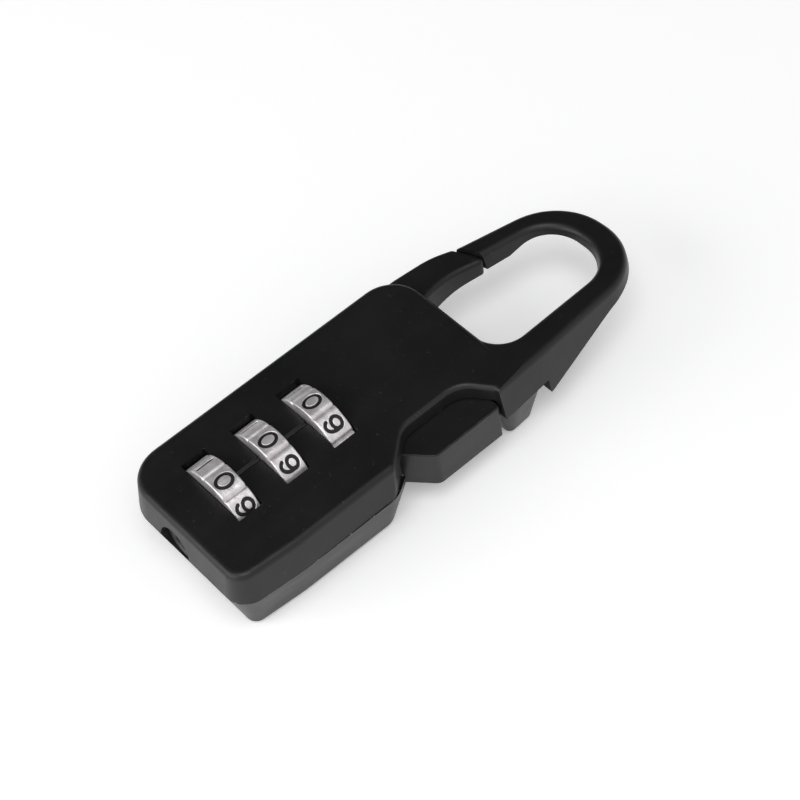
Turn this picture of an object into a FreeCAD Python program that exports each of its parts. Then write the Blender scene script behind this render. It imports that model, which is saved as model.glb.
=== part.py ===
import FreeCAD, Part
import math
import os
import Sketcher
from FreeCAD import Placement, Rotation, Vector

# Luggage combination padlock: two cast half shells, a hook in one piece with the front shell, a gate
# that closes the hook, a push button that swings the gate, and three dials on a finned spindle.
# Frame: the lock lies on its flat back at Z = 0 with its dials up. Y runs from the reset hole to the
# tip of the hook, X towards the button, and X = Y = 0 is the middle of the middle dial.

DIMENSIONS = {
    # shells
    "back_face": 0.0,
    "body_depth": 11.4,
    "parting_height": 7.0,
    "plate_thickness": 1.2,
    "front_draft": 9.0,
    "rear_draft": 15.0,
    "front_edge_radius": 0.9,
    "rear_edge_radius": 1.3,
    "notch_edge_radius": 0.6,
    "body_left": -10.5,
    "body_bottom": -14.8,
    "body_top": 28.1,
    "lower_right": 13.0,
    "arm_right": 13.6,
    "arm_end": 23.6,
    "tab_top": 30.7,
    "shoulder": 7.5,
    "front_notch_depth": 8.8,
    "rear_notch_depth": 9.4,
    # hook
    "hook_top": 51.5,
    "hook_inner_top": 47.05,
    "hook_draft_height": 3.6,
    "hook_block_depth": 6.4,
    "hook_underside": 8.6,
    "arm_underside": 5.1,
    "beak_gap": 0.15,
    "beak_underside": 7.7,
    # dials
    "dial_radius": 6.2,
    "dial_width": 3.2,
    "dial_pitch": 7.0,
    "dial_groove_radius": 0.5,
    "dial_groove_depth": 0.3,
    "dial_chamfer": 0.15,
    "window_length": 10.9,
    "window_width": 3.5,
    "pocket_radius": 6.4,
    "index_groove_width": 0.9,
    "index_groove_depth": 0.4,
    "index_offset": 0.3,
    # sleeves, spindle and reset parts
    "sleeve_radius": 3.2,
    "sleeve_length": 6.9,
    "sleeve_bore": 2.25,
    "tooth_radius": 3.95,
    "tooth_width": 0.9,
    "tooth_length": 1.3,
    "code_gate_width": 1.0,
    "sleeve_floor": 0.8,
    "shaft_radius": 1.2,
    "fin_radius": 2.1,
    "fin_width": 0.8,
    "fin_length": 1.0,
    "running_gap": 0.08,
    "bore_top": 13.2,
    "reset_step": -12.1,
    "reset_hole_radius": 2.65,
    "plunger_radius": 2.5,
    "plunger_face": -13.9,
    "washer_thickness": 0.5,
    # button, slide plate and gate
    "button_face": 13.2,
    "button_back": 8.3,
    "button_low": 3.6,
    "button_high": 9.0,
    "button_travel": 1.4,
    "button_chamfer": 0.15,
    "cam_slope": 0.6,
    "plate_low": 5.9,
    "plate_high": 7.1,
    "bay_floor": 5.2,
    "gate_low": 5.9,
    "gate_high": 9.8,
    "gate_tip_low": 7.8,
    "pivot_x": -5.9,
    "pivot_y": 22.3,
    "pivot_radius": 0.9,
    "nose_x": -4.9,
    "nose_y": 16.9,
    "nose_radius": 0.9,
    "drive_pin_y": 16.6,
    "drive_pin_radius": 0.7,
    # fasteners
    "rivet_radius": 0.75,
    "rivet_head_radius": 1.2,
    "rivet_head_height": 0.5,
    "post_radius": 1.5,
}

# The zero on each dial stands this many degrees from the top, towards the button.
DIAL_REST_ANGLES = (9.5, 2.0, -3.5)
DIAL_FACES = 10
RIVET_PLACES = ((-5.6, -10.4), (7.6, -10.4), (9.0, 3.0), (4.4, 24.0))
POST_PLACE = RIVET_PLACES[3]

doc = FreeCAD.newDocument("combination_padlock")


def make_sheet():
    """Put every driving dimension in a cell with the dimension's name as its alias."""
    table = doc.addObject("Spreadsheet::Sheet", "dims")
    for row, (name, value) in enumerate(DIMENSIONS.items(), start=1):
        table.set(f"A{row}", name)
        table.set(f"B{row}", str(value))
        table.setAlias(f"B{row}", name)
    doc.recompute()
    return table


sheet = make_sheet()


def size(name):
    return float(getattr(sheet, name))


# ---------------------------------------------------------------- helpers


def rounded(corners):
    """Lines and arcs of a closed outline, from (x, y, radius) corners; radius 0 leaves a corner sharp."""
    starts, ends, arcs = [], [], []
    count = len(corners)
    for i, (x, y, radius) in enumerate(corners):
        corner = Vector(x, y, 0)
        before = Vector(*corners[i - 1][:2], 0) - corner
        after = Vector(*corners[(i + 1) % count][:2], 0) - corner
        before.normalize()
        after.normalize()
        if radius == 0:
            starts.append(corner)
            ends.append(corner)
            arcs.append(None)
            continue
        half = before.getAngle(after) / 2
        reach = radius / math.tan(half)
        bisector = before + after
        bisector.normalize()
        centre = corner + bisector * (radius / math.sin(half))
        starts.append(corner + before * reach)
        ends.append(corner + after * reach)
        arcs.append(centre - bisector * radius)
    edges = []
    for i in range(count):
        if arcs[i] is not None:
            edges.append(Part.Arc(starts[i], arcs[i], ends[i]))
        edges.append(Part.LineSegment(ends[i], starts[(i + 1) % count]))
    return edges


def inset(corners, distance):
    """The same outline moved inwards all round; corners run anticlockwise."""
    moved = []
    count = len(corners)
    for i, (x, y, radius) in enumerate(corners):
        corner = Vector(x, y, 0)
        came = corner - Vector(*corners[i - 1][:2], 0)
        goes = Vector(*corners[(i + 1) % count][:2], 0) - corner
        came.normalize()
        goes.normalize()
        inward = Vector(-came.y, came.x, 0)
        next_inward = Vector(-goes.y, goes.x, 0)
        corner += (inward + next_inward) * (distance / (1 + inward.dot(next_inward)))
        outside = came.cross(goes).z > 0
        moved.append((corner.x, corner.y, max(radius - distance, 0) if outside else radius + distance))
    return moved


def rectangle(x_low, x_high, y_low, y_high):
    return rounded([(x_low, y_low, 0), (x_high, y_low, 0), (x_high, y_high, 0), (x_low, y_high, 0)])


def circle(x, y, radius):
    return [Part.Circle(Vector(x, y, 0), Vector(0, 0, 1), radius)]


def new_body(label, place=None):
    body = doc.addObject("PartDesign::Body", label)
    body.Label = label
    if place is not None:
        body.Placement = place
    return body


def new_sketch(body, name, plane, edges, offset="0"):
    """A sketch on one of the body's own origin planes, moved along that plane's normal."""
    sketch = body.newObject("Sketcher::SketchObject", f"{body.Name}_{name}")
    origin_plane = next(f for f in body.Origin.OriginFeatures if f.Role == plane)
    sketch.AttachmentSupport = [(origin_plane, "")]
    sketch.MapMode = "FlatFace"
    sketch.setExpression("AttachmentOffset.Base.z", offset)
    sketch.addGeometry(edges, False)
    return sketch


def bind_circle(sketch, index, expression):
    """Tie a circle's radius to the sheet."""
    constraint = sketch.addConstraint(Sketcher.Constraint("Radius", index, sketch.Geometry[index].Radius))
    sketch.setExpression(f"Constraints[{constraint}]", expression)


def extrude(kind, body, sketch, length, reverse=False, taper="0", middle=False):
    """A Pad or a Pocket of a sketch, with its length bound to the sheet."""
    doc.recompute()
    before = body.Shape.Volume if body.Tip else 0.0
    feature = body.newObject(f"PartDesign::{kind}", f"{sketch.Name}_{kind.lower()}")
    feature.Profile = sketch
    feature.Reversed = reverse
    feature.Midplane = middle
    feature.setExpression("Length", length)
    if taper != "0":
        feature.setExpression("TaperAngle", taper)
    sketch.Visibility = False
    doc.recompute()
    change = body.Shape.Volume - before
    if kind == "Pocket":
        change = -change
    if change < 1e-3:
        raise RuntimeError(f"{feature.Name} neither added nor removed what it should")
    return feature


def pad(body, sketch, length, **options):
    return extrude("Pad", body, sketch, length, **options)


def pocket(body, sketch, length, **options):
    return extrude("Pocket", body, sketch, length, **options)


def revolve(body, sketch):
    """Turn a profile about the body's own Y axis."""
    feature = body.newObject("PartDesign::Revolution", f"{sketch.Name}_revolution")
    feature.Profile = sketch
    feature.ReferenceAxis = (sketch, ["V_Axis"])
    feature.Angle = 360
    doc.recompute()
    return feature


def dress(kind, body, base, edges, radius):
    """A Fillet or Chamfer of the chosen edges of a feature."""
    feature = body.newObject(f"PartDesign::{kind}", f"{base.Name}_{kind.lower()}")
    feature.Base = (base, edges)
    feature.setExpression("Radius" if kind == "Fillet" else "Size", radius)
    doc.recompute()
    return feature


def edge_names(feature, wanted):
    """Names of the feature's edges that a test on the edge accepts."""
    names = []
    for number, edge in enumerate(feature.Shape.Edges, start=1):
        if wanted(edge):
            names.append(f"Edge{number}")
    return names


def flat_at(height):
    """A test for edges that lie wholly at one height."""
    return lambda edge: abs(edge.BoundBox.ZMin - height) < 1e-4 and abs(edge.BoundBox.ZMax - height) < 1e-4


def dial_centres():
    return [(number - 1) * size("dial_pitch") for number in range(3)]


# ---------------------------------------------------------------- outlines of the casting


def lower_corners():
    """Corners of the body from its upper left round the reset end to the arm."""
    return [
        (size("body_left"), size("body_top"), 5.2),
        (size("body_left"), size("body_bottom"), 5.5),
        (12.3, size("body_bottom"), 3.0),
        (size("lower_right"), -6.0, 20.0),
        (size("lower_right"), 6.0, 20.0),
        (size("arm_right"), 24.5, 14.0),
    ]


def hook_corners():
    """Corners of the hook from the outside of the arm over the top, round the beak and back inside."""
    return [
        (12.9, 31.0, 30.0),
        (10.7, size("hook_top"), 9.2),
        (-5.7, size("hook_top"), 8.8),
        (-9.1, 33.0, 1.6),
        (-4.8, 33.0, 1.6),
        (-2.9, size("hook_inner_top"), 5.0),
        (7.1, size("hook_inner_top"), 4.8),
    ]


def front_body_corners():
    """The front shell without its hook; the last corners are buried in the root of the arm."""
    buried = size("arm_end") + 1.5
    root = [(size("arm_right") - 0.1, buried, 0), (9.0, buried, 0), (9.0, size("body_top"), 0)]
    return lower_corners()[:5] + root


def hook_block_corners():
    """The hook with the end of the arm and the corner where it meets the body."""
    end = size("arm_end") - 1.5
    root = [(8.15, size("body_top"), 3.2), (2.0, size("body_top"), 0)]
    return hook_corners() + root + [(2.0, end, 0), (size("arm_right"), end, 0)]


def rear_corners():
    """The rear shell at the parting plane: the body, its scoop under the button and the arm's tab."""
    floor = size("rear_notch_depth")
    top = size("arm_end") - 0.1
    shoulder = [(size("lower_right") + 0.1, size("shoulder"), 4.0), (floor, size("shoulder") + 5.7, 1.0)]
    scoop = shoulder + [(floor, top, 1.0), (13.7, top, 2.5)]
    tab = [(13.2, size("tab_top"), 2.3), (8.5, size("tab_top"), 2.2), (6.0, size("body_top"), 1.0)]
    return lower_corners()[:4] + scoop + tab


def notch_outline():
    """The scooped D beside the button, open to the right."""
    depth = size("front_notch_depth")
    shoulder = size("shoulder")
    return rounded(
        [
            (16.5, size("arm_end") - 0.1, 0),
            (12.4, size("arm_end") - 0.1, 0.8),
            (depth, 20.9, 3.6),
            (depth, shoulder + 5.0, 3.0),
            (12.9, shoulder, 3.0),
            (14.0, shoulder - 5.0, 0),
            (16.5, shoulder - 5.0, 0),
        ]
    )


def works_outline():
    """The bay for the gate's tail, the slide plate and the button spring."""
    left = size("body_left") + 1.5
    return rounded([(left, 14.1, 0.8), (7.6, 14.1, 0.8), (7.6, 26.5, 1.0), (left, 26.5, 3.0)])


def gate_exit_outline():
    """The opening in the upper left corner of the body, where the gate leaves it."""
    return rounded([(-12.0, 24.6, 0), (-8.4, 22.2, 0), (-2.9, 25.0, 0), (-2.9, 30.0, 0), (-12.0, 30.0, 0)])


def gate_tip_corners(gap=0.0):
    """The rounded end of the gate, which laps the beak; gap moves it out to where the beak starts."""
    return [(-8.4 - gap, 35.4 + gap, 0.6), (-5.9 - gap, 36.6 + gap, 1.6), (-4.0 + gap, 37.2 + gap, 0.5)]


def gate_outline():
    """The gate from above its tail, up its outer side, over the tip and back down the inner side."""
    outer = [(-8.0, 20.5, 1.4), (-10.1, 26.0, 6.0), (-9.5, 32.6, 12.0)]
    inner = [(-5.6, 31.5, 12.0), (-4.5, 26.6, 6.0), (-3.8, 20.5, 1.4)]
    return rounded(outer + gate_tip_corners() + inner)


def beak_cut_outline():
    """Everything of the hook block that lies below the tip of the gate."""
    tip = gate_tip_corners(size("beak_gap"))
    left = [(-13.0, 31.0, 0), (-13.0, tip[0][1], 0)]
    right = [(-1.5, tip[2][1], 0), (-1.5, 31.0, 0)]
    return rounded(left + tip + right)


# ---------------------------------------------------------------- blocks and cuts that both shells share


def drafted_block(body, name, corners, face, draft):
    """A block between a face and the parting plane, whose walls widen to the corners at the parting plane."""
    rise = size("parting_height") - size(face)
    shrink = abs(rise) * math.tan(math.radians(size(draft)))
    sketch = new_sketch(body, name, "XY_Plane", rounded(inset(corners, shrink)), f"dims.{face}")
    length = f"abs(dims.parting_height - dims.{face})"
    return pad(body, sketch, length, reverse=rise < 0, taper=f"dims.{draft}")


def cut_dial_pockets(body):
    for number, centre in enumerate(dial_centres(), start=1):
        axis = circle(0, size("parting_height"), 1)
        wheel = new_sketch(body, f"wheel_{number}", "XZ_Plane", axis, f"{-centre}")
        bind_circle(wheel, 0, "dims.pocket_radius")
        pocket(body, wheel, "dims.window_width", middle=True)


def cut_sleeve_bore(body):
    """The long bore for the sleeves, the step that keeps the plunger in and the reset hole."""
    axis = circle(0, size("parting_height"), 1)
    bore = new_sketch(body, "sleeve_bore", "XZ_Plane", axis, "-dims.bore_top")
    bind_circle(bore, 0, "dims.sleeve_radius + dims.running_gap")
    pocket(body, bore, "dims.bore_top - dims.reset_step", reverse=True)
    hole = new_sketch(body, "reset_hole", "XZ_Plane", axis, "-dims.reset_step")
    bind_circle(hole, 0, "dims.reset_hole_radius")
    pocket(body, hole, "4", reverse=True)
    tongue = rectangle(-1.9, 1.9, 5.6, 8.7)
    slot = new_sketch(body, "tongue_slot", "XZ_Plane", tongue, "-14.6")
    pocket(body, slot, "1.5", reverse=True)


def cut_detent_channel(body, up):
    channel = new_sketch(body, "channel", "XY_Plane", rectangle(-8.9, -6.0, -8.7, 8.7), "dims.parting_height")
    pocket(body, channel, "1.8", reverse=up)


def cut_gate_exit(body, length, up):
    opening = new_sketch(body, "gate_exit", "XY_Plane", gate_exit_outline(), "dims.parting_height")
    pocket(body, opening, length, reverse=up)


def drill_rivets(body, length, up):
    edges = []
    for x, y in RIVET_PLACES:
        edges += circle(x, y, size("rivet_radius") + 0.05)
    holes = new_sketch(body, "rivet_holes", "XY_Plane", edges, "dims.parting_height")
    pocket(body, holes, length, reverse=up)


def add_post(body, length, up):
    """The boss that stands in the bay and takes the upper rivet."""
    post = new_sketch(body, "post", "XY_Plane", circle(*POST_PLACE, 1), "dims.parting_height")
    bind_circle(post, 0, "dims.post_radius")
    pad(body, post, length, reverse=not up)


def drill_pivot(body, length, up):
    hole = circle(size("pivot_x"), size("pivot_y"), 1)
    pin = new_sketch(body, "pivot_hole", "XY_Plane", hole, "dims.parting_height")
    bind_circle(pin, 0, "dims.pivot_radius + 0.02")
    pocket(body, pin, length, reverse=up)


# ---------------------------------------------------------------- front shell


def hook_underside_profile():
    """What is cut away below the hook, seen from the side."""
    return rounded(
        [
            (29.0, 0, 0),
            (60.0, 0, 0),
            (60.0, size("hook_underside"), 0),
            (44.0, size("hook_underside"), 20.0),
            (31.0, size("arm_underside"), 4.0),
            (29.0, size("arm_underside"), 0),
        ]
    )


def hook_plane():
    """The plane of the hook's upper face, which falls from the arm's root to the crest and the beak."""
    across = 0.05
    along = -0.045
    start = size("body_depth") - across * 11.0 - along * size("body_top")
    return Placement(Vector(0, 0, start), Rotation(Vector(0, 0, 1), Vector(-across, -along, 1)))


def add_hook(body):
    """The hook hangs from its own slanted upper face, with its walls drafted like the body's."""
    hook = new_body("hook_casting")
    shrink = size("hook_draft_height") * math.tan(math.radians(size("front_draft")))
    outline = rounded(inset(hook_block_corners(), shrink))
    plane = hook_plane()
    sketch = new_sketch(hook, "hook", "XY_Plane", outline, f"{plane.Base.z}")
    sketch.AttachmentOffset = plane
    block = pad(hook, sketch, "dims.hook_block_depth", reverse=True, taper="dims.front_draft")
    dress("Fillet", hook, block, edge_names(block, on_hook_rim), "dims.front_edge_radius")
    union = body.newObject("PartDesign::Boolean", "hook_union")
    union.setObjects([hook])
    union.Type = 0
    doc.recompute()


def on_hook_rim(edge):
    """Edges round the hook's upper face, clear of the body."""
    plane = hook_plane()
    normal = plane.Rotation.multVec(Vector(0, 0, 1))
    ends = [edge.valueAt(edge.FirstParameter), edge.valueAt(edge.LastParameter)]
    middle = edge.valueAt((edge.FirstParameter + edge.LastParameter) / 2)
    if any(abs((point - plane.Base).dot(normal)) > 1e-3 for point in ends):
        return False
    in_body = middle.x < 3.0 and middle.y < size("body_top") - 1.0
    return middle.y > size("arm_end") - 0.5 and not in_body


def front_shell():
    """The front half of the body with the hook cast in one piece with it."""
    body = new_body("front_shell")
    block = drafted_block(body, "outline", front_body_corners(), "body_depth", "front_draft")
    dress("Fillet", body, block, edge_names(block, on_body_rim), "dims.front_edge_radius")
    add_hook(body)
    level = new_sketch(body, "level", "XY_Plane", rectangle(0, 20, 20, 60), "dims.body_depth")
    pocket(body, level, "5", reverse=True)
    level_rear_of_arm(body)
    underside = new_sketch(body, "underside", "YZ_Plane", hook_underside_profile(), "-20")
    pocket(body, underside, "40", reverse=True)
    notch = new_sketch(body, "notch", "XY_Plane", notch_outline(), "dims.parting_height - 3")
    shaped = pocket(body, notch, "9", reverse=True)
    dress("Fillet", body, shaped, edge_names(shaped, on_notch_rim), "dims.notch_edge_radius")
    cut_beak(body)
    thin_beak(body)
    cut_windows(body)
    cut_index_grooves(body)
    cut_dial_pockets(body)
    cut_sleeve_bore(body)
    cut_detent_channel(body, up=True)
    cut_front_bay(body)
    cut_gate_exit(body, "dims.gate_high - dims.parting_height + 0.4", up=True)
    add_post(body, "dims.body_depth - dims.parting_height - 0.6", up=True)
    drill_rivets(body, "3.2", up=True)
    drill_pivot(body, "3.7", up=True)
    return body


def level_rear_of_arm(body):
    """Below the parting plane the arm gives way to the rear shell's tab."""
    room = rectangle(0, 20, 20, size("tab_top") + 0.1)
    tab = new_sketch(body, "tab_room", "XY_Plane", room, "dims.parting_height")
    pocket(body, tab, "8")


def on_body_rim(edge):
    box = edge.BoundBox
    buried = box.XMin > 8.2 and box.YMin > size("arm_end")
    return flat_at(size("body_depth"))(edge) and not buried


def on_notch_rim(edge):
    """The upper edge of the scooped D, where the button shows."""
    box = edge.BoundBox
    in_notch = 8.7 < box.XMin and box.XMax < 12.3 and box.YMin > 9.5 and box.YMax < size("arm_end") - 0.1
    return flat_at(size("body_depth"))(edge) and in_notch


def cut_beak(body):
    """The beak is cut to the shape of the gate's tip."""
    beak = new_sketch(body, "beak", "XY_Plane", beak_cut_outline(), "dims.body_depth + 1")
    pocket(body, beak, "dims.body_depth + 2")


def thin_beak(body):
    """The beak side of the hook is only as deep as the gate's tip."""
    below = new_sketch(body, "below_beak", "XY_Plane", rectangle(-15, 1, 31, 60), "dims.beak_underside")
    pocket(body, below, "5")


def cut_windows(body):
    half = size("window_length") / 2
    width = size("window_width") / 2
    edges = []
    for centre in dial_centres():
        edges += rectangle(-half, half, centre - width, centre + width)
    windows = new_sketch(body, "windows", "XY_Plane", edges, "dims.parting_height")
    pocket(body, windows, "dims.body_depth", reverse=True)


def cut_index_grooves(body):
    """The short marks between the windows that the code is read against."""
    half = size("index_groove_width") / 2
    top = size("body_depth")
    bottom = top - size("index_groove_depth")
    middle = size("index_offset")
    mark = rounded([(middle - half, top + 0.1, 0), (middle, bottom, 0.2), (middle + half, top + 0.1, 0)])
    for number, side in enumerate((-1, 1), start=1):
        centre = side * size("dial_pitch") / 2
        groove = new_sketch(body, f"index_{number}", "XZ_Plane", mark, f"{-centre}")
        pocket(body, groove, "dims.dial_pitch - dims.window_width + 0.1", middle=True)


def cut_front_bay(body):
    works = new_sketch(body, "works_bay", "XY_Plane", works_outline(), "dims.parting_height")
    pocket(body, works, "dims.body_depth - dims.parting_height - dims.plate_thickness", reverse=True)
    room = new_sketch(body, "button_bay", "XY_Plane", button_bay_outline(), "dims.parting_height")
    pocket(body, room, "dims.button_high - dims.parting_height + 0.2", reverse=True)


def button_bay_outline():
    return rectangle(6.2, 16.5, 9.9, size("arm_end") - 0.1)


# ---------------------------------------------------------------- rear shell


def rear_shell():
    """The back half of the body, with the tab that backs the arm of the hook."""
    body = new_body("rear_shell")
    block = drafted_block(body, "outline", rear_corners(), "back_face", "rear_draft")
    dress("Fillet", body, block, edge_names(block, flat_at(0.0)), "dims.rear_edge_radius")
    cut_dial_pockets(body)
    cut_sleeve_bore(body)
    cut_detent_channel(body, up=False)
    cut_rear_bay(body)
    cut_gate_exit(body, "dims.parting_height - dims.gate_low + 0.3", up=False)
    add_post(body, "dims.parting_height - 0.6", up=False)
    add_spring_seat(body)
    add_pivot_seat(body)
    drill_rivets(body, "dims.parting_height + 1", up=False)
    sink_rivet_heads(body)
    drill_pivot(body, "dims.parting_height - 1", up=False)
    return body


def cut_rear_bay(body):
    works = new_sketch(body, "works_bay", "XY_Plane", works_outline(), "dims.parting_height")
    pocket(body, works, "dims.parting_height - dims.bay_floor")
    room = new_sketch(body, "button_bay", "XY_Plane", button_bay_outline(), "dims.parting_height")
    pocket(body, room, "dims.parting_height - dims.button_low + 0.2")


def add_spring_seat(body):
    """The rib that the button spring pushes against."""
    rib = rectangle(-0.6, 0.6, 20.1, 22.3)
    seat = new_sketch(body, "spring_seat", "XY_Plane", rib, "dims.bay_floor - 0.5")
    pad(body, seat, "3.8")


def add_pivot_seat(body):
    """The low boss that the gate turns on."""
    place = circle(size("pivot_x"), size("pivot_y"), 1.8)
    seat = new_sketch(body, "pivot_seat", "XY_Plane", place, "dims.bay_floor - 0.5")
    pad(body, seat, "dims.gate_low - dims.bay_floor + 0.4")


def sink_rivet_heads(body):
    edges = []
    for x, y in RIVET_PLACES:
        edges += circle(x, y, size("rivet_head_radius") + 0.05)
    sinks = new_sketch(body, "rivet_sinks", "XY_Plane", edges, "0")
    pocket(body, sinks, "dims.rivet_head_height", reverse=True)


# ---------------------------------------------------------------- dials, sleeves and spindle


def polar_pattern(body, feature, sketch, count):
    pattern = body.newObject("PartDesign::PolarPattern", f"{feature.Name}_ring")
    pattern.Originals = [feature]
    pattern.Axis = (sketch, ["N_Axis"])
    pattern.Angle = 360
    pattern.Occurrences = count
    body.Tip = pattern
    doc.recompute()
    return pattern


def dial_place(number):
    """A dial's own origin is its centre, with the middle of its zero towards local +Z."""
    axis = Vector(0, dial_centres()[number - 1], size("parting_height"))
    return Placement(axis, Rotation(Vector(0, 1, 0), DIAL_REST_ANGLES[number - 1]))


def dial(number):
    """One code dial: ten faces parted by shallow grooves, and ten slots inside for the sleeve's teeth."""
    body = new_body(f"dial_{number}", dial_place(number))
    disc = new_sketch(body, "disc", "XZ_Plane", circle(0, 0, 6) + circle(0, 0, 3))
    bind_circle(disc, 0, "dims.dial_radius")
    bind_circle(disc, 1, "dims.sleeve_radius + dims.running_gap")
    blank = pad(body, disc, "dims.dial_width", middle=True)
    rims = edge_names(blank, lambda edge: edge.BoundBox.XLength > 2 * size("dial_radius") - 0.1)
    dress("Chamfer", body, blank, rims, "dims.dial_chamfer")
    reach = size("dial_radius") - size("dial_groove_depth") + size("dial_groove_radius")
    between = math.radians(180 / DIAL_FACES)
    groove_at = circle(reach * math.sin(between), reach * math.cos(between), size("dial_groove_radius"))
    groove = new_sketch(body, "groove", "XZ_Plane", groove_at)
    cut = pocket(body, groove, "dims.dial_width + 1", middle=True)
    polar_pattern(body, cut, groove, DIAL_FACES)
    half = size("tooth_width") / 2 + 0.1
    key = rectangle(-half, half, size("sleeve_radius") - 0.5, size("tooth_radius") + 0.1)
    slot = new_sketch(body, "slot", "XZ_Plane", key)
    keyway = pocket(body, slot, "dims.dial_width + 1", middle=True)
    polar_pattern(body, keyway, slot, DIAL_FACES)
    return body


def clutch_sleeve(number):
    """A sleeve that turns with its dial; its floor has the code gate and its two teeth drive it."""
    body = new_body(f"clutch_sleeve_{number}", dial_place(number))
    tube = new_sketch(body, "tube", "XZ_Plane", circle(0, 0, 3) + circle(0, 0, 2))
    bind_circle(tube, 0, "dims.sleeve_radius")
    bind_circle(tube, 1, "dims.sleeve_bore")
    pad(body, tube, "dims.sleeve_length", middle=True)
    ring = circle(0, 0, 3) + circle(0, 0, 1)
    floor = new_sketch(body, "floor", "XZ_Plane", ring, "dims.sleeve_length / 2")
    bind_circle(floor, 0, "dims.sleeve_radius")
    bind_circle(floor, 1, "dims.shaft_radius + 0.15")
    pad(body, floor, "dims.sleeve_floor", reverse=True)
    half = size("code_gate_width") / 2
    opening = rectangle(-half, half, 0, 2.2)
    gate = new_sketch(body, "code_gate", "XZ_Plane", opening, "dims.sleeve_length / 2 + 1")
    pocket(body, gate, "dims.sleeve_floor + 1", reverse=False)
    half = size("tooth_width") / 2
    teeth = rectangle(-half, half, 2.8, size("tooth_radius"))
    tooth = new_sketch(body, "tooth", "XZ_Plane", teeth, "0.1")
    lug = pad(body, tooth, "dims.tooth_length")
    polar_pattern(body, lug, tooth, 2)
    return body


def spindle():
    """The finned shaft inside the sleeves, with the tongue that carries the drive pin."""
    body = new_body("spindle", Placement(Vector(0, 0, size("parting_height")), Rotation()))
    shaft = new_sketch(body, "shaft", "XZ_Plane", circle(0, 0, 1), "-14.4")
    bind_circle(shaft, 0, "dims.shaft_radius")
    pad(body, shaft, "25.2")
    half = size("fin_width") / 2
    for number, centre in enumerate(dial_centres(), start=1):
        plan = rectangle(-half, half, 0.6, size("fin_radius"))
        fin = new_sketch(body, f"fin_{number}", "XZ_Plane", plan, f"{-centre - 0.9}")
        pad(body, fin, "dims.fin_length")
    tongue = new_sketch(body, "tongue", "XZ_Plane", rectangle(-1.6, 1.6, 0.3, 1.4), "-18.0")
    pad(body, tongue, "3.8")
    across = circle(0, size("drive_pin_y"), 1)
    hole = new_sketch(body, "pin_hole", "XY_Plane", across, "-3")
    bind_circle(hole, 0, "dims.drive_pin_radius + 0.02")
    pocket(body, hole, "8", reverse=True)
    return body


def drive_pin():
    """The pin through the spindle's tongue that rides in the slanted slot of the slide plate."""
    return plain_cylinder("drive_pin", "dims.drive_pin_radius", "2.9", Vector(0, size("drive_pin_y"), 5.5))


def plain_cylinder(label, radius, length, base):
    body = new_body(label, Placement(base, Rotation()))
    disc = new_sketch(body, "disc", "XY_Plane", circle(0, 0, 1))
    bind_circle(disc, 0, radius)
    pad(body, disc, length)
    return body


def reset_plunger():
    """The disc seen in the reset hole, with the collar that keeps it in and pushes the sleeves."""
    body = new_body("reset_plunger", Placement(Vector(0, 0, size("parting_height")), Rotation()))
    face = size("plunger_face")
    outline = [
        (0, face + 0.3, 0),
        (0.8, face + 0.3, 0),
        (1.1, face, 0),
        (size("plunger_radius"), face, 0.25),
        (size("plunger_radius"), size("reset_step") + 0.2, 0),
        (size("sleeve_radius") - 0.05, size("reset_step") + 0.2, 0),
        (size("sleeve_radius") - 0.05, -10.55, 0),
        (1.4, -10.55, 0),
        (1.4, face + 0.75, 0),
        (0, face + 0.75, 0),
    ]
    profile = new_sketch(body, "profile", "XY_Plane", rounded(outline))
    revolve(body, profile)
    return body


def spring_washer():
    """The washer at the top of the bore that the reset spring pushes against."""
    body = new_body("spring_washer", Placement(Vector(0, 0, size("parting_height")), Rotation()))
    ring = circle(0, 0, 3) + circle(0, 0, 1)
    flat = new_sketch(body, "flat", "XZ_Plane", ring, "-dims.bore_top")
    bind_circle(flat, 0, "dims.sleeve_radius - 0.05")
    bind_circle(flat, 1, "dims.shaft_radius + 0.1")
    pad(body, flat, "dims.washer_thickness")
    return body


def coil_spring(label, radius, wire, turns, start, length, axis):
    """A compression spring from start along axis, its ends left open."""
    pitch = (length - wire) / turns
    path = Part.makeHelix(pitch, pitch * turns, radius)
    section = Part.Wire(Part.makeCircle(wire / 2, Vector(radius, 0, 0), Vector(0, 1, 0)))
    coil = Part.Wire(path).makePipeShell([section], True, True)
    coil.translate(Vector(0, 0, wire / 2))
    feature = doc.addObject("Part::Feature", label)
    feature.Label = label
    feature.Shape = coil
    feature.Placement = Placement(start, Rotation(Vector(0, 0, 1), axis))
    return feature


# ---------------------------------------------------------------- button, slide plate and gate


def button():
    """The push button: a block with a slanted lower end, slotted for the slide plate."""
    body = new_body("button")
    back = size("button_back")
    face = size("button_face")
    plan = rounded(
        [(back, 10.3, 0.2), (9.6, 10.3, 0.3), (face, 13.4, 1.2), (face, 23.3, 0.35), (back, 23.3, 0.2)]
    )
    block = new_sketch(body, "block", "XY_Plane", plan, "dims.button_low")
    solid = pad(body, block, "dims.button_high - dims.button_low")
    top = edge_names(solid, flat_at(size("button_high"))) + edge_names(solid, flat_at(size("button_low")))
    dress("Chamfer", body, solid, top, "dims.button_chamfer")
    slot = new_sketch(body, "slot", "XY_Plane", rectangle(back - 1, 10.6, 14.6, 19.2), "dims.plate_low")
    pocket(body, slot, "dims.plate_high - dims.plate_low", reverse=True)
    return body


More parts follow.
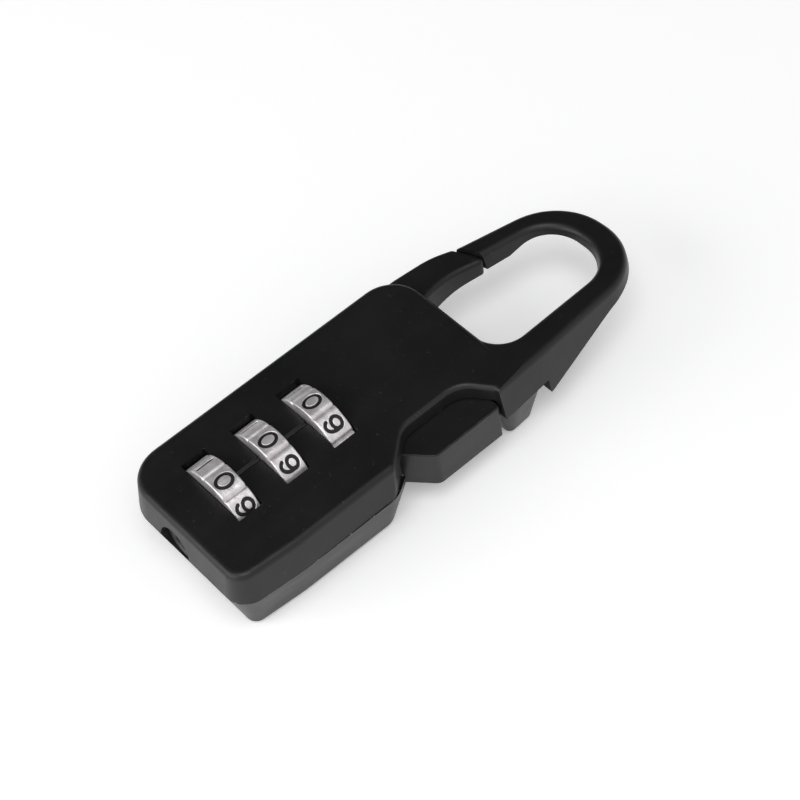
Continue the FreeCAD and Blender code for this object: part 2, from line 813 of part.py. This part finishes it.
def slide_plate():
    """The stamped plate behind the button, with a slot for the gate's tail and a slanted one for the pin."""
    body = new_body("slide_plate", Placement(Vector(0, 0, size("plate_low")), Rotation()))
    plan = rounded([(-6.8, 14.6, 0.6), (10.6, 14.6, 0), (10.6, 19.2, 0), (-6.8, 19.2, 0.6)])
    blank = new_sketch(body, "blank", "XY_Plane", plan)
    pad(body, blank, "dims.plate_high - dims.plate_low")
    reach = size("nose_radius") + 0.08
    tail = rounded(
        [
            (size("nose_x") - reach, size("nose_y") - 1.3, 0.5),
            (size("nose_x") + reach, size("nose_y") - 1.3, 0.5),
            (size("nose_x") + reach, size("nose_y") + 1.2, 0.5),
            (size("nose_x") - reach, size("nose_y") + 1.2, 0.5),
        ]
    )
    ramp = slanted_slot(size("drive_pin_y"), size("drive_pin_radius") + 0.06)
    slots = new_sketch(body, "slots", "XY_Plane", tail + ramp, "2")
    pocket(body, slots, "4")
    return body


def slanted_slot(height, radius):
    """A slot from the pin at rest to where the button's travel brings it."""
    run = size("button_travel")
    rise = run * size("cam_slope")
    along = Vector(run, -rise, 0)
    along.normalize()
    across = Vector(-along.y, along.x, 0) * radius
    first = Vector(0, height, 0)
    last = Vector(run, height - rise, 0)
    return [
        Part.LineSegment(first + across, last + across),
        Part.Arc(last + across, last + along * radius, last - across),
        Part.LineSegment(last - across, first - across),
        Part.Arc(first - across, first - along * radius, first + across),
    ]


def gate_underside_profile():
    return rounded(
        [
            (28.0, size("gate_low") - 2, 0),
            (40.0, size("gate_low") - 2, 0),
            (40.0, size("gate_tip_low") + 0.3, 0),
            (28.0, size("gate_low"), 0),
        ]
    )


def gate_lever():
    """The gate that closes the hook, with the tail and nose that the slide plate moves."""
    body = new_body("gate_lever")
    outline = new_sketch(body, "outline", "XY_Plane", gate_outline(), "dims.gate_low")
    pad(body, outline, "dims.gate_high - dims.gate_low")
    underside = new_sketch(body, "underside", "YZ_Plane", gate_underside_profile(), "-20")
    shaped = pocket(body, underside, "40", reverse=True)
    top = edge_names(shaped, flat_at(size("gate_high")))
    dress("Fillet", body, shaped, top, "0.6")
    tail_plan = rounded([(-7.4, 21.6, 1.2), (-5.8, 16.0, 0.89), (-4.0, 16.0, 0.89), (-4.2, 21.6, 1.0)])
    tail = new_sketch(body, "tail", "XY_Plane", tail_plan, "dims.plate_high + 0.3")
    pad(body, tail, "2.0")
    nose = new_sketch(body, "nose", "XY_Plane", circle(size("nose_x"), size("nose_y"), 1), "5.5")
    bind_circle(nose, 0, "dims.nose_radius")
    pad(body, nose, "3.0")
    pivot = circle(size("pivot_x"), size("pivot_y"), 1)
    hole = new_sketch(body, "pivot", "XY_Plane", pivot, "dims.gate_low - 1")
    bind_circle(hole, 0, "dims.pivot_radius + dims.running_gap")
    pocket(body, hole, "6", reverse=True)
    return body


# ---------------------------------------------------------------- small parts in the shells


def detent_leaf():
    """A corrugated leaf spring whose three bumps stand just clear of the dials' rims."""
    body = new_body("detent_leaf")
    wall = -8.9
    bump = -6.7
    thickness = 0.3
    corners = [(wall, -8.5)]
    for centre in dial_centres():
        corners += [(wall, centre - 1.3), (bump, centre - 0.3), (bump, centre + 0.3), (wall, centre + 1.3)]
    corners.append((wall, 8.5))
    outer = [(x, y, 0) for x, y in corners]
    inner = [(x + thickness, y, 0) for x, y in reversed(corners)]
    strip = new_sketch(body, "strip", "XY_Plane", rounded(outer + inner), "dims.parting_height")
    pad(body, strip, "3.2", middle=True)
    return body


def shell_rivets():
    """Four rivets that hold the shells together, with their heads sunk in the back."""
    feature = doc.addObject("Part::Feature", "shell_rivets")
    feature.Label = "shell_rivets"
    rivets = []
    for x, y in RIVET_PLACES:
        head = Part.makeCylinder(size("rivet_head_radius"), size("rivet_head_height"), Vector(x, y, 0))
        shank = Part.makeCylinder(size("rivet_radius"), size("body_depth") - 1.4, Vector(x, y, 0))
        rivets.append(head.fuse(shank).removeSplitter())
    feature.Shape = Part.makeCompound(rivets)
    feature.Placement = Placement()
    return feature


# ---------------------------------------------------------------- build and export


def build_all():
    parts = [front_shell(), rear_shell(), shell_rivets(), detent_leaf()]
    for number in (1, 2, 3):
        parts += [dial(number), clutch_sleeve(number)]
    parts += [spindle(), drive_pin(), reset_plunger(), spring_washer()]
    parts += [button(), slide_plate(), gate_lever()]
    pivot = Vector(size("pivot_x"), size("pivot_y"), 1.1)
    parts.append(plain_cylinder("gate_pivot_pin", "dims.pivot_radius", "9.5", pivot))
    spring_start = Vector(0, 10.75, size("parting_height"))
    parts.append(coil_spring("reset_spring", 2.3, 0.4, 2, spring_start, 1.75, Vector(0, 1, 0)))
    button_start = Vector(0.65, 21.2, size("parting_height"))
    parts.append(coil_spring("button_spring", 0.75, 0.3, 7, button_start, 7.6, Vector(1, 0, 0)))
    return parts


def export(parts):
    """Check every object, then write each sub-part to parts/LABEL.step."""
    doc.recompute()
    for item in doc.Objects:
        if "Invalid" in item.State or "Error" in item.State:
            raise RuntimeError(f"{item.Name} is {item.State}")
    os.makedirs("parts", exist_ok=True)
    for part in parts:
        shape = part.Shape
        if shape.isNull() or not shape.isValid():
            raise RuntimeError(f"{part.Label} has no valid shape")
        shape.exportStep(f"parts/{part.Label}.step")
        print(f"{part.Label}: {len(shape.Solids)} solid(s), {shape.Volume:.1f} mm3")


export(build_all())
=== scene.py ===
import math

import bpy
import numpy as np
from mathutils import Matrix, Vector


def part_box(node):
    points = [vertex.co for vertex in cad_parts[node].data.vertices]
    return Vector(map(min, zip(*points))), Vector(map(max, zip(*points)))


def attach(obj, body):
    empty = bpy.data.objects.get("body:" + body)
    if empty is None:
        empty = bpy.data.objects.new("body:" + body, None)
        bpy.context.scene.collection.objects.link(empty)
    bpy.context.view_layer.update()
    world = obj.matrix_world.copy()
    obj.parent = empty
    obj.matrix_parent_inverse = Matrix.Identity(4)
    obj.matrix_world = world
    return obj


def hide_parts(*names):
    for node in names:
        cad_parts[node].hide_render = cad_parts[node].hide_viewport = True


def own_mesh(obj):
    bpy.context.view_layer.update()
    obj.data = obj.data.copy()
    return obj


# Looks for the luggage combination padlock: satin black castings, silver code dials with sunk digits,
# steel and brass works, on a white table under soft light. Lengths are in metres.

MM = 0.001

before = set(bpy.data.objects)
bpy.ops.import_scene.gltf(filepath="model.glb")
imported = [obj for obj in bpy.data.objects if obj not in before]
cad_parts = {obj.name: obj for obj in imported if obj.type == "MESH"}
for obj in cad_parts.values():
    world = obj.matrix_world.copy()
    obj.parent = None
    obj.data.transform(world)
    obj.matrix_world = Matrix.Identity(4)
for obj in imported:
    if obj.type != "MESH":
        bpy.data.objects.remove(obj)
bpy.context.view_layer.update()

# ---------------------------------------------------------------- shader helpers


class Shader:
    """A material under construction: nodes are added by type and wired by name."""

    def __init__(self, name):
        self.material = bpy.data.materials.new(name)
        self.material.use_nodes = True
        self.tree = self.material.node_tree
        self.surface = self.tree.nodes["Principled BSDF"]
        self.place = self.node("ShaderNodeTexCoord").outputs["Object"]

    def node(self, kind, **settings):
        made = self.tree.nodes.new(kind)
        for name, value in settings.items():
            setattr(made, name, value)
        return made

    def link(self, source, target):
        self.tree.links.new(source, target)

    def set(self, name, value):
        self.surface.inputs[name].default_value = value

    def feed(self, name, source):
        self.link(source, self.surface.inputs[name])

    def noise(self, per_metre, detail=3.0, rough=0.5, stretch=(1.0, 1.0, 1.0)):
        """Noise with that many grains to the metre, stretched along the axes."""
        mapping = self.node("ShaderNodeMapping")
        mapping.inputs["Scale"].default_value = stretch
        self.link(self.place, mapping.inputs["Vector"])
        grain = self.node("ShaderNodeTexNoise")
        grain.inputs["Scale"].default_value = per_metre
        grain.inputs["Detail"].default_value = detail
        grain.inputs["Roughness"].default_value = rough
        self.link(mapping.outputs["Vector"], grain.inputs["Vector"])
        return grain.outputs["Fac"]

    def remap(self, source, low, high, to_low, to_high):
        ramp = self.node("ShaderNodeMapRange", clamp=True)
        for socket, value in (("From Min", low), ("From Max", high), ("To Min", to_low), ("To Max", to_high)):
            ramp.inputs[socket].default_value = value
        self.link(source, ramp.inputs["Value"])
        return ramp.outputs["Result"]

    def math(self, operation, first, second):
        made = self.node("ShaderNodeMath", operation=operation)
        for socket, value in zip(made.inputs, (first, second)):
            if isinstance(value, (int, float)):
                socket.default_value = value
            else:
                self.link(value, socket)
        return made.outputs["Value"]

    def mix(self, factor, first, second):
        """A colour between two others; each is a colour or a socket."""
        made = self.node("ShaderNodeMix", data_type="RGBA")
        self.link(factor, made.inputs["Factor"])
        for socket, value in ((made.inputs[6], first), (made.inputs[7], second)):
            if isinstance(value, tuple):
                socket.default_value = (*value, 1.0)
            else:
                self.link(value, socket)
        return made.outputs[2]

    def bump(self, height, depth, below=None, strength=1.0):
        made = self.node("ShaderNodeBump")
        made.inputs["Strength"].default_value = strength
        made.inputs["Distance"].default_value = depth
        self.link(height, made.inputs["Height"])
        if below is not None:
            self.link(below, made.inputs["Normal"])
        return made.outputs["Normal"]

    def corners(self, radius):
        """1 at sharp outside and inside corners, 0 on open surface."""
        bevel = self.node("ShaderNodeBevel", samples=4)
        bevel.inputs["Radius"].default_value = radius
        geometry = self.node("ShaderNodeNewGeometry")
        dot = self.node("ShaderNodeVectorMath", operation="DOT_PRODUCT")
        self.link(bevel.outputs["Normal"], dot.inputs[0])
        self.link(geometry.outputs["Normal"], dot.inputs[1])
        return self.remap(dot.outputs["Value"], 1.0, 0.86, 0.0, 1.0)


# ---------------------------------------------------------------- materials


PARTING_HEIGHT = 7.0 * MM
TAB_END = 30.4 * MM
PAINT_SPECULAR = 0.4
SEAM_SPECULAR = 0.08


def parting_seam(paint):
    """1 along the line where the two shells meet, uneven in width, 0 elsewhere."""
    axes = paint.node("ShaderNodeSeparateXYZ")
    paint.link(paint.place, axes.inputs[0])
    off = paint.math("ABSOLUTE", paint.math("SUBTRACT", axes.outputs["Z"], PARTING_HEIGHT), 0)
    ragged = paint.remap(paint.noise(900, 4, 0.7), 0.35, 0.65, 0.03 * MM, 0.13 * MM)
    line = paint.math("SUBTRACT", 1.0, paint.math("DIVIDE", off, ragged))
    on_body = paint.math("LESS_THAN", axes.outputs["Y"], TAB_END)
    return paint.remap(paint.math("MULTIPLY", line, on_body), 0.0, 0.5, 0.0, 1.0)


def black_paint(name, seamed=False):
    """Satin black paint over a die casting: fine peel, faint rubbing, bright nicks on sharp corners."""
    paint = Shader(name)
    blotch = paint.noise(90, 4, 0.55)
    speck = paint.remap(paint.noise(2600, 2, 0.5), 0.70, 0.76, 0.0, 1.0)
    worn = paint.remap(paint.noise(800, 5, 0.7), 0.56, 0.66, 0, 1)
    nicks = paint.math("MULTIPLY", paint.corners(0.12 * MM), worn)
    dark, light = (0.0070, 0.0070, 0.0074), (0.0108, 0.0105, 0.0108)
    tone = paint.mix(paint.remap(blotch, 0.35, 0.65, 0, 1), dark, light)
    tone = paint.mix(paint.math("MULTIPLY", speck, 0.12), tone, (0.22, 0.21, 0.21))
    tone = paint.mix(paint.math("MULTIPLY", nicks, 0.35), tone, (0.33, 0.31, 0.30))
    if seamed:
        seam = parting_seam(paint)
        flash = paint.math("MULTIPLY", seam, paint.remap(paint.noise(1700, 3, 0.6), 0.62, 0.68, 0, 1))
        tone = paint.mix(paint.math("MULTIPLY", flash, 0.8), tone, (0.30, 0.29, 0.28))
        paint.feed("Specular IOR Level", paint.remap(seam, 0.0, 1.0, PAINT_SPECULAR, SEAM_SPECULAR))
    paint.feed("Base Color", tone)
    rubbed = paint.noise(260, 6, 0.65, (1.0, 0.25, 1.0))
    rough = paint.remap(rubbed, 0.3, 0.7, 0.34, 0.46)
    paint.feed("Roughness", paint.math("ADD", rough, paint.math("MULTIPLY", speck, 0.1)))
    if not seamed:
        paint.set("Specular IOR Level", PAINT_SPECULAR)
    peel = paint.bump(paint.noise(3200, 2, 0.5), 0.006 * MM)
    waves = paint.bump(paint.noise(420, 3, 0.5), 0.035 * MM, peel)
    paint.feed("Normal", waves)
    return paint.material


def dial_metal():
    """Satin zinc, part metallic; the mesh attribute read below says where black paint lies in the cuts and
    where painted shade darkens the grooves between faces.
    """
    metal = Shader("dial_metal")
    cloud = metal.noise(700, 5, 0.6)
    streak = metal.noise(1500, 4, 0.6, (1.0, 0.12, 1.0))
    # Black paint in the cut digits, and painted shade in the grooves between faces.
    ink_and_shade = metal.node("ShaderNodeAttribute", attribute_name="ink_and_shade").outputs["Fac"]
    tone = metal.mix(metal.remap(cloud, 0.3, 0.7, 0, 1), (0.58, 0.54, 0.55), (0.95, 0.92, 0.94))
    tone = metal.mix(metal.remap(streak, 0.58, 0.72, 0, 0.4), tone, (0.42, 0.40, 0.40))
    painted = metal.remap(ink_and_shade, 0.35, 0.65, 0, 1)
    metal.feed("Base Color", metal.mix(painted, tone, (0.004, 0.004, 0.004)))
    metal.feed("Metallic", metal.math("SUBTRACT", 0.6, metal.math("MULTIPLY", painted, 0.6)))
    shine = metal.remap(streak, 0.3, 0.7, 0.26, 0.44)
    metal.feed("Roughness", metal.math("ADD", shine, metal.math("MULTIPLY", painted, 0.3)))
    fine = metal.bump(streak, 0.015 * MM)
    metal.feed("Normal", metal.bump(cloud, 0.07 * MM, fine))
    return metal.material


def bare_metal(name, dark, light, rough, stretch):
    """Drawn or turned metal with a lay along one axis and a little tarnish."""
    metal = Shader(name)
    lay = metal.noise(1800, 5, 0.6, stretch)
    tarnish = metal.noise(240, 4, 0.6)
    metal.feed("Base Color", metal.mix(metal.remap(tarnish, 0.35, 0.7, 0, 1), light, dark))
    metal.set("Metallic", 1.0)
    metal.feed("Roughness", metal.remap(lay, 0.3, 0.7, rough - 0.08, rough + 0.1))
    metal.feed("Normal", metal.bump(lay, 0.01 * MM))
    return metal.material


def white_table():
    """The plain pale floor, barely uneven, with a faint painted glow of its own that lifts the shadows on it.
    """
    table = Shader("white_table")
    soft = table.noise(6, 3, 0.5)
    table.feed("Base Color", table.mix(soft, (0.93, 0.93, 0.935), (0.96, 0.96, 0.96)))
    table.set("Roughness", 0.75)
    # Painted light: the floor glows a little of its own, lifting the shadows on it.
    table.set("Emission Color", (1.0, 1.0, 1.0, 1.0))
    table.set("Emission Strength", 0.24)
    table.feed("Normal", table.bump(table.noise(900, 2, 0.5), 0.01 * MM))
    return table.material


def paint_nodes(material, nodes):
    """Give CAD nodes their looks, under the name of one slot."""
    for name in nodes:
        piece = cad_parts[name]
        piece.data.materials.clear()
        piece.data.materials.append(material)


# ---------------------------------------------------------------- digits


def line(*points):
    return np.array(points, float)


def arc(centre, radii, start, end, steps=20):
    """Points on an ellipse from one angle to another, in degrees from +x."""
    angles = np.radians(np.linspace(start, end, steps))
    return np.stack([centre[0] + radii[0] * np.cos(angles), centre[1] + radii[1] * np.sin(angles)], 1)


def digit_strokes(digit):
    """Centre lines of a digit's strokes, in a box that runs from -1 to 1 across and up."""
    nine = [arc((0, 0.42), (0.84, 0.58), 0, 360, 32), arc((-0.03, 0.0), (0.88, 1.0), 25, -145)]
    strokes = {
        0: [arc((0, 0), (0.86, 1.0), 0, 360, 40)],
        1: [line((0, -1), (0, 1))],
        2: [arc((0, 0.42), (0.82, 0.58), 165, -35), line((0.67, 0.09), (-0.85, -1), (0.9, -1))],
        3: [arc((-0.05, 0.48), (0.8, 0.52), 150, -90), arc((-0.05, -0.48), (0.88, 0.52), 90, -150)],
        4: [line((0.45, -1), (0.45, 1), (-0.9, -0.4), (0.95, -0.4))],
        5: [line((0.75, 1), (-0.6, 1), (-0.7, 0.12)), arc((-0.05, -0.36), (0.88, 0.64), 128, -150)],
        6: [-stroke for stroke in nine],
        7: [line((-0.85, 1), (0.85, 1), (-0.25, -1))],
        8: [arc((0, 0.5), (0.74, 0.5), 0, 360, 32), arc((0, -0.48), (0.86, 0.52), 0, 360, 32)],
        9: nine,
    }
    return strokes[digit]


def stroke_distance(points, strokes):
    """Distance from each point to the nearest stroke."""
    nearest = np.full(len(points), np.inf)
    for stroke in strokes:
        for start, end in zip(stroke[:-1], stroke[1:]):
            along = end - start
            share = np.clip(((points - start) @ along) / (along @ along), 0, 1)
            gap = np.linalg.norm(points - start - share[:, None] * along, axis=1)
            nearest = np.minimum(nearest, gap)
    return nearest


# ---------------------------------------------------------------- dials

DIAL_RADIUS = 6.2 * MM
DIAL_BORE = 3.3 * MM
FACES = 10
FACE_ANGLE = 2 * math.pi / FACES
DIGIT_HALF_WIDTH = 0.95 * MM
DIGIT_HALF_HEIGHT = 1.05 * MM
STROKE = 0.21 * MM
ENGRAVED = 0.16 * MM
ENGRAVING_SLOPE = 0.06 * MM
GROOVE_HALF_WIDTH = 0.34 * MM
GROOVE_DEPTH = 0.136 * MM
# Strength of the painted shade that darkens the grooves between faces.
GROOVE_SHADE = 0.43
EDGE_ROUNDING = 0.75 * MM
RIM_BEVEL = 0.14 * MM
REST_DEGREES = {"dial_1": 9.5, "dial_2": 2.0, "dial_3": -3.5}


def rim_height(angle, across, radius, width):
    """Radius of the rim at an angle from the top and a place across the width, and how much black paint or
    painted shade lies there.
    """
    face = np.round(angle / FACE_ANGLE).astype(int)
    offset = (angle - face * FACE_ANGLE) * radius
    half_face = radius * FACE_ANGLE / 2
    near_edge = np.clip((np.abs(offset) - half_face + EDGE_ROUNDING) / EDGE_ROUNDING, 0, 1)
    drop = 0.12 * MM * near_edge**2
    groove = np.clip(1 - (half_face - np.abs(offset)) / GROOVE_HALF_WIDTH, 0, 1)
    drop = drop + GROOVE_DEPTH * groove**1.5
    # Painted shade: the grooves between faces are darkened as if shade lay in them.
    ink_and_shade = GROOVE_SHADE * groove
    for number in range(FACES):
        digit = (FACES - number) % FACES
        chosen = (face % FACES) == number
        if not chosen.any():
            continue
        scale = np.array([DIGIT_HALF_WIDTH * (0.95 if digit else 1.0), DIGIT_HALF_HEIGHT])
        local = np.stack([offset[chosen], across[chosen]], 1)
        strokes = [stroke * scale for stroke in digit_strokes(digit)]
        gap = stroke_distance(local, strokes)
        cut = np.clip((STROKE - gap) / ENGRAVING_SLOPE + 0.5, 0, 1)
        drop[chosen] += ENGRAVED * cut
        ink_and_shade[chosen] = np.maximum(ink_and_shade[chosen], cut)
    bevel = np.clip((np.abs(across) - width / 2 + RIM_BEVEL) / RIM_BEVEL, 0, 1)
    return radius - drop - RIM_BEVEL * bevel**2, ink_and_shade


def ring_faces(rows, columns):
    """Quads of a closed ring of points in rows, each row running all the way round."""
    row, column = np.meshgrid(np.arange(rows - 1), np.arange(columns), indexing="ij")
    following = (column + 1) % columns
    corners = [row * columns + column, row * columns + following]
    corners += [(row + 1) * columns + following, (row + 1) * columns + column]
    return np.stack(corners, -1).reshape(-1, 4)


def dial(name, material):
    """A dial with sunk digits, in the place of the CAD dial."""
    low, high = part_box(name)
    centre = (low + high) / 2
    width = high.y - low.y
    columns = 1440
    angles = np.arange(columns) * 2 * math.pi / columns
    across = np.linspace(-width / 2, width / 2, 110)
    grid_across, grid_angle = np.meshgrid(across, angles, indexing="ij")
    reach, ink_and_shade = rim_height(grid_angle.ravel(), grid_across.ravel(), DIAL_RADIUS, width)
    rim = [(reach, grid_angle.ravel(), grid_across.ravel(), ink_and_shade)]
    inner = np.full(columns, DIAL_BORE)
    blank = np.zeros(columns)
    rim.append((inner, angles, np.full(columns, width / 2), blank))
    rim.append((inner, angles, np.full(columns, -width / 2), blank))
    first_row = (reach[:columns], angles, np.full(columns, -width / 2), blank)
    rim.append(first_row)
    reach, turn, along, ink_and_shade = (np.concatenate(parts) for parts in zip(*rim))
    turn = turn + math.radians(REST_DEGREES[name])
    points = np.stack([reach * np.sin(turn), along, reach * np.cos(turn)], 1) + np.array(centre)
    mesh = bpy.data.meshes.new(name + "_face")
    mesh.from_pydata(points.tolist(), [], ring_faces(len(across) + 3, columns).tolist())
    mesh.attributes.new("ink_and_shade", "FLOAT", "POINT").data.foreach_set("value", ink_and_shade.astype(np.float32))
    mesh.shade_smooth()
    mesh.materials.append(material)
    piece = bpy.data.objects.new(name + "_face", mesh)
    bpy.context.scene.collection.objects.link(piece)
    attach(piece, "wheel_" + name[-1])
    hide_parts(name)


# ---------------------------------------------------------------- springs


def spring(name, material):
    """A copy of the CAD spring with the given material, hung on the casing in the place of the CAD spring."""
    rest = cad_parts[name]
    coil = bpy.data.objects.new(name + "_coil", rest.data.copy())
    coil.matrix_world = rest.matrix_world.copy()
    coil.data.materials.clear()
    coil.data.materials.append(material)
    bpy.context.scene.collection.objects.link(coil)
    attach(coil, "casing")
    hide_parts(name)
    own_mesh(coil)


# ---------------------------------------------------------------- stage


def floor(material):
    bpy.ops.mesh.primitive_plane_add(size=3.0, location=(0, 0, -0.02 * MM))
    table = bpy.context.object
    table.name = "table"
    table.data.materials.append(material)


def area_light(name, place, aim, width, power, height=None):
    data = bpy.data.lights.new(name, "AREA")
    data.shape = "RECTANGLE"
    data.size = width
    data.size_y = height or width
    data.energy = power
    lamp = bpy.data.objects.new(name, data)
    lamp.location = place
    lamp.rotation_euler = (Vector(aim) - Vector(place)).to_track_quat("-Z", "Y").to_euler()
    bpy.context.scene.collection.objects.link(lamp)


def lights():
    """A broad soft box low over the reset end, a smaller one overhead and a pale surround."""
    aim = (0, 0.015, 0)
    area_light("key", (-0.10, -0.50, 0.28), aim, 0.6, 1.5, 0.35)
    area_light("overhead", (0.25, -0.15, 0.80), aim, 0.5, 2.4)
    surround()


def surround():
    """A white tent that is dark only beyond the hook, in the direction that the front face reflects."""
    world = bpy.data.worlds.new("surround")
    world.use_nodes = True
    tree = world.node_tree
    place = tree.nodes.new("ShaderNodeTexCoord")
    toward = tree.nodes.new("ShaderNodeVectorMath")
    toward.operation = "DOT_PRODUCT"
    toward.inputs[1].default_value = Vector((-0.62, 0.40, 0.68)).normalized()
    tree.links.new(place.outputs["Generated"], toward.inputs[0])
    fade = tree.nodes.new("ShaderNodeMapRange")
    for name, value in (("From Min", 0.30), ("From Max", 0.80), ("To Min", 0.72), ("To Max", 0.04)):
        fade.inputs[name].default_value = value
    tree.links.new(toward.outputs["Value"], fade.inputs["Value"])
    tree.links.new(fade.outputs["Result"], tree.nodes["Background"].inputs["Strength"])
    tree.nodes["Background"].inputs["Color"].default_value = (1.0, 1.0, 1.0, 1.0)
    bpy.context.scene.world = world
    bpy.context.scene.view_settings.view_transform = "Standard"


def camera():
    """Above and beside the reset end, with a long lens, rolled so that the lock climbs to the right."""
    azimuth, elevation, roll = (math.radians(angle) for angle in (57.2, 51.4, -10.8))
    aim = Vector((5.68, 14.87, 11.4)) * MM
    distance = 237.0 * MM
    away = Vector((math.sin(azimuth), -math.cos(azimuth), math.tan(elevation))).normalized()
    right = Vector((math.cos(azimuth), math.sin(azimuth), 0))
    turn = Matrix((right, away.cross(right), away)).transposed() @ Matrix.Rotation(roll, 3, "Z")
    data = bpy.data.cameras.new("camera")
    data.sensor_width = 36.0
    data.lens = 93.27
    data.clip_start = 0.01
    view = bpy.data.objects.new("camera", data)
    view.matrix_world = Matrix.Translation(aim + away * distance) @ turn.to_4x4()
    bpy.context.scene.collection.objects.link(view)
    bpy.context.scene.camera = view


# ---------------------------------------------------------------- build

silver = dial_metal()
steel = bare_metal("steel", (0.30, 0.29, 0.28), (0.55, 0.55, 0.56), 0.3, (1.0, 0.15, 1.0))
brass = bare_metal("brass", (0.14, 0.10, 0.05), (0.32, 0.24, 0.13), 0.38, (1.0, 0.15, 1.0))
dark_metal = bare_metal("dark_metal", (0.015, 0.015, 0.016), (0.05, 0.05, 0.052), 0.45, (1.0, 1.0, 0.15))

paint_nodes(black_paint("cast_paint", seamed=True), ["front_shell", "rear_shell"])
paint_nodes(black_paint("black_paint"), ["shell_rivets", "gate_lever", "button"])
paint_nodes(dark_metal, ["reset_plunger"])
paint_nodes(
    steel,
    ["gate_pivot_pin", "slide_plate", "drive_pin", "spring_washer", "detent_leaf"],
)
paint_nodes(brass, ["spindle", "clutch_sleeve_1", "clutch_sleeve_2", "clutch_sleeve_3"])
for dial_name in REST_DEGREES:
    dial(dial_name, silver)

spring("reset_spring", steel)
spring("button_spring", steel)

floor(white_table())
lights()
camera()
